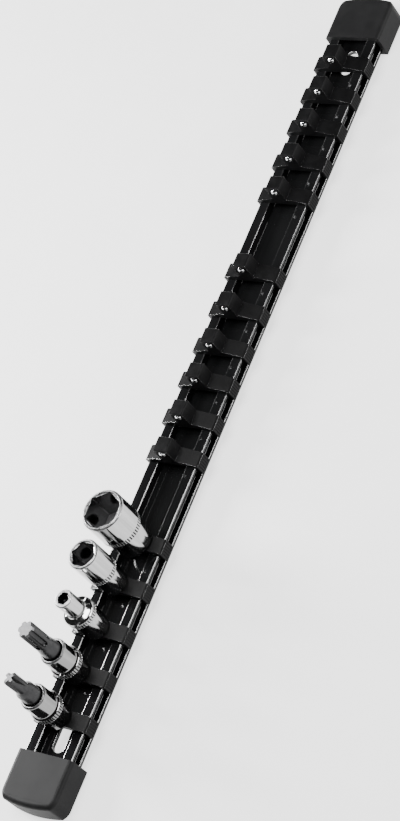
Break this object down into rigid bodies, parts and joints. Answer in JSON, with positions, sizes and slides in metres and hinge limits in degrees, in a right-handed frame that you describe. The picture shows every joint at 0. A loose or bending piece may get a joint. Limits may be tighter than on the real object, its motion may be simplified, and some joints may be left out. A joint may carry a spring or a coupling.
{
  "type": "socket rail",
  "caption": "Black rail with end caps and sliding clips, whose square posts with sprung balls hold small sockets and bit sockets.",
  "frame": {"origin": "below the middle of the part, in the plane that the end caps rest on", "axes": "+X along the rail towards the empty clips, +Y across it, +Z out of its open face"},
  "size_m": [0.352, 0.025, 0.0484],
  "materials": {
    "anodised_black": "glossy black anodised",
    "cap_rubber": "matte black moulded",
    "clip_plastic": "fine-grained black moulded",
    "ball_steel": "polished",
    "spring_steel": "plain drawn wire",
    "socket_chrome": "satin chrome plated",
    "bit_steel": "grey satin"
  },
  "bodies": {
    "rail_body": {"rail": "anodised_black", "end_cap_lower": "cap_rubber", "end_cap_upper": "cap_rubber"},
    "clip_body_01": {"clip_01": "clip_plastic", "spring_01": "spring_steel"},
    "clip_body_02": {"clip_02": "clip_plastic", "spring_02": "spring_steel"},
    "clip_body_03": {"clip_03": "clip_plastic", "spring_03": "spring_steel"},
    "clip_body_04": {"clip_04": "clip_plastic", "spring_04": "spring_steel"},
    "clip_body_05": {"clip_05": "clip_plastic", "spring_05": "spring_steel"},
    "clip_body_06": {"clip_06": "clip_plastic", "spring_06": "spring_steel"},
    "clip_body_07": {"clip_07": "clip_plastic", "spring_07": "spring_steel"},
    "clip_body_08": {"clip_08": "clip_plastic", "spring_08": "spring_steel"},
    "clip_body_09": {"clip_09": "clip_plastic", "spring_09": "spring_steel"},
    "clip_body_10": {"clip_10": "clip_plastic", "spring_10": "spring_steel"},
    "clip_body_11": {"clip_11": "clip_plastic", "spring_11": "spring_steel"},
    "clip_body_12": {"clip_12": "clip_plastic", "spring_12": "spring_steel"},
    "clip_body_13": {"clip_13": "clip_plastic", "spring_13": "spring_steel"},
    "clip_body_14": {"clip_14": "clip_plastic", "spring_14": "spring_steel"},
    "clip_body_15": {"clip_15": "clip_plastic", "spring_15": "spring_steel"},
    "clip_body_16": {"clip_16": "clip_plastic", "spring_16": "spring_steel"},
    "ball_body_01": {"ball_01": "ball_steel"},
    "ball_body_02": {"ball_02": "ball_steel"},
    "ball_body_03": {"ball_03": "ball_steel"},
    "ball_body_04": {"ball_04": "ball_steel"},
    "ball_body_05": {"ball_05": "ball_steel"},
    "ball_body_06": {"ball_06": "ball_steel"},
    "ball_body_07": {"ball_07": "ball_steel"},
    "ball_body_08": {"ball_08": "ball_steel"},
    "ball_body_09": {"ball_09": "ball_steel"},
    "ball_body_10": {"ball_10": "ball_steel"},
    "ball_body_11": {"ball_11": "ball_steel"},
    "ball_body_12": {"ball_12": "ball_steel"},
    "ball_body_13": {"ball_13": "ball_steel"},
    "ball_body_14": {"ball_14": "ball_steel"},
    "ball_body_15": {"ball_15": "ball_steel"},
    "ball_body_16": {"ball_16": "ball_steel"},
    "socket_large_body": {"socket_large": "socket_chrome"},
    "socket_medium_body": {"socket_medium": "socket_chrome"},
    "socket_small_body": {"socket_small": "socket_chrome"},
    "bit_socket_star_body": {"bit_socket_star": "socket_chrome", "bit_star": "bit_steel"},
    "bit_socket_cross_body": {"bit_socket_cross": "socket_chrome", "bit_cross": "bit_steel"}
  },
  "joints": [
    {"name": "clip_slide_01", "type": "slide", "parent": "rail_body", "child": "clip_body_01", "axis": [1, 0, 0], "range_m": [-0.004, 0.0092]},
    {"name": "clip_slide_02", "type": "slide", "parent": "rail_body", "child": "clip_body_02", "axis": [1, 0, 0], "range_m": [-0.004, 0.004]},
    {"name": "clip_slide_03", "type": "slide", "parent": "rail_body", "child": "clip_body_03", "axis": [1, 0, 0], "range_m": [-0.0045, 0.004]},
    {"name": "clip_slide_04", "type": "slide", "parent": "rail_body", "child": "clip_body_04", "axis": [1, 0, 0], "range_m": [-0.0041, 0.0045]},
    {"name": "clip_slide_05", "type": "slide", "parent": "rail_body", "child": "clip_body_05", "axis": [1, 0, 0], "range_m": [-0.014, 0.0041]},
    {"name": "clip_slide_06", "type": "slide", "parent": "rail_body", "child": "clip_body_06", "axis": [1, 0, 0], "range_m": [-0.0049, 0.014]},
    {"name": "clip_slide_07", "type": "slide", "parent": "rail_body", "child": "clip_body_07", "axis": [1, 0, 0], "range_m": [-0.0045, 0.0049]},
    {"name": "clip_slide_08", "type": "slide", "parent": "rail_body", "child": "clip_body_08", "axis": [1, 0, 0], "range_m": [-0.0039, 0.0045]},
    {"name": "clip_slide_09", "type": "slide", "parent": "rail_body", "child": "clip_body_09", "axis": [1, 0, 0], "range_m": [-0.0044, 0.0039]},
    {"name": "clip_slide_10", "type": "slide", "parent": "rail_body", "child": "clip_body_10", "axis": [1, 0, 0], "range_m": [-0.0042, 0.0044]},
    {"name": "clip_slide_11", "type": "slide", "parent": "rail_body", "child": "clip_body_11", "axis": [1, 0, 0], "range_m": [-0.0119, 0.0042]},
    {"name": "clip_slide_12", "type": "slide", "parent": "rail_body", "child": "clip_body_12", "axis": [1, 0, 0], "range_m": [-0.0014, 0.0119]},
    {"name": "clip_slide_13", "type": "slide", "parent": "rail_body", "child": "clip_body_13", "axis": [1, 0, 0], "range_m": [-0.0026, 0.0014]},
    {"name": "clip_slide_14", "type": "slide", "parent": "rail_body", "child": "clip_body_14", "axis": [1, 0, 0], "range_m": [-0.0026, 0.0026]},
    {"name": "clip_slide_15", "type": "slide", "parent": "rail_body", "child": "clip_body_15", "axis": [1, 0, 0], "range_m": [-0.0025, 0.0026]},
    {"name": "clip_slide_16", "type": "slide", "parent": "rail_body", "child": "clip_body_16", "axis": [1, 0, 0], "range_m": [-0.0106, 0.0025]},
    {"name": "ball_press_01", "type": "slide", "parent": "clip_body_01", "child": "ball_body_01", "axis": [1, 0, 0], "range_m": [0, 0.0006], "stiffness_N_per_m": 60, "springref_m": -0.0005, "deforming": ["spring_01"]},
    {"name": "ball_press_02", "type": "slide", "parent": "clip_body_02", "child": "ball_body_02", "axis": [1, 0, 0], "range_m": [0, 0.0006], "stiffness_N_per_m": 60, "springref_m": -0.0005, "deforming": ["spring_02"]},
    {"name": "ball_press_03", "type": "slide", "parent": "clip_body_03", "child": "ball_body_03", "axis": [1, 0, 0], "range_m": [0, 0.0006], "stiffness_N_per_m": 60, "springref_m": -0.0005, "deforming": ["spring_03"]},
    {"name": "ball_press_04", "type": "slide", "parent": "clip_body_04", "child": "ball_body_04", "axis": [1, 0, 0], "range_m": [0, 0.0006], "stiffness_N_per_m": 60, "springref_m": -0.0005, "deforming": ["spring_04"]},
    {"name": "ball_press_05", "type": "slide", "parent": "clip_body_05", "child": "ball_body_05", "axis": [1, 0, 0], "range_m": [0, 0.0006], "stiffness_N_per_m": 60, "springref_m": -0.0005, "deforming": ["spring_05"]},
    {"name": "ball_press_06", "type": "slide", "parent": "clip_body_06", "child": "ball_body_06", "axis": [1, 0, 0], "range_m": [0, 0.0006], "stiffness_N_per_m": 60, "springref_m": -0.0005, "deforming": ["spring_06"]},
    {"name": "ball_press_07", "type": "slide", "parent": "clip_body_07", "child": "ball_body_07", "axis": [1, 0, 0], "range_m": [0, 0.0006], "stiffness_N_per_m": 60, "springref_m": -0.0005, "deforming": ["spring_07"]},
    {"name": "ball_press_08", "type": "slide", "parent": "clip_body_08", "child": "ball_body_08", "axis": [1, 0, 0], "range_m": [0, 0.0006], "stiffness_N_per_m": 60, "springref_m": -0.0005, "deforming": ["spring_08"]},
    {"name": "ball_press_09", "type": "slide", "parent": "clip_body_09", "child": "ball_body_09", "axis": [1, 0, 0], "range_m": [0, 0.0006], "stiffness_N_per_m": 60, "springref_m": -0.0005, "deforming": ["spring_09"]},
    {"name": "ball_press_10", "type": "slide", "parent": "clip_body_10", "child": "ball_body_10", "axis": [1, 0, 0], "range_m": [0, 0.0006], "stiffness_N_per_m": 60, "springref_m": -0.0005, "deforming": ["spring_10"]},
    {"name": "ball_press_11", "type": "slide", "parent": "clip_body_11", "child": "ball_body_11", "axis": [1, 0, 0], "range_m": [0, 0.0006], "stiffness_N_per_m": 60, "springref_m": -0.0005, "deforming": ["spring_11"]},
    {"name": "ball_press_12", "type": "slide", "parent": "clip_body_12", "child": "ball_body_12", "axis": [1, 0, 0], "range_m": [0, 0.0001], "stiffness_N_per_m": 60, "springref_m": -0.0011, "deforming": ["spring_12"]},
    {"name": "ball_press_13", "type": "slide", "parent": "clip_body_13", "child": "ball_body_13", "axis": [1, 0, 0], "range_m": [0, 0.0001], "stiffness_N_per_m": 60, "springref_m": -0.0011, "deforming": ["spring_13"]},
    {"name": "ball_press_14", "type": "slide", "parent": "clip_body_14", "child": "ball_body_14", "axis": [1, 0, 0], "range_m": [0, 0.0001], "stiffness_N_per_m": 60, "springref_m": -0.0011, "deforming": ["spring_14"]},
    {"name": "ball_press_15", "type": "slide", "parent": "clip_body_15", "child": "ball_body_15", "axis": [1, 0, 0], "range_m": [0, 0.0001], "stiffness_N_per_m": 60, "springref_m": -0.0011, "deforming": ["spring_15"]},
    {"name": "ball_press_16", "type": "slide", "parent": "clip_body_16", "child": "ball_body_16", "axis": [1, 0, 0], "range_m": [0, 0.0001], "stiffness_N_per_m": 60, "springref_m": -0.0011, "deforming": ["spring_16"]},
    {"name": "socket_large_lift", "type": "slide", "parent": "clip_body_12", "child": "socket_large_body", "axis": [0, 0, 1], "range_m": [0, 0.03]},
    {"name": "socket_medium_lift", "type": "slide", "parent": "clip_body_13", "child": "socket_medium_body", "axis": [0, 0, 1], "range_m": [0, 0.03]},
    {"name": "socket_small_lift", "type": "slide", "parent": "clip_body_14", "child": "socket_small_body", "axis": [0, 0, 1], "range_m": [0, 0.03]},
    {"name": "bit_socket_star_lift", "type": "slide", "parent": "clip_body_15", "child": "bit_socket_star_body", "axis": [0, 0, 1], "range_m": [0, 0.03]},
    {"name": "bit_socket_cross_lift", "type": "slide", "parent": "clip_body_16", "child": "bit_socket_cross_body", "axis": [0, 0, 1], "range_m": [0, 0.03]}
  ]
}
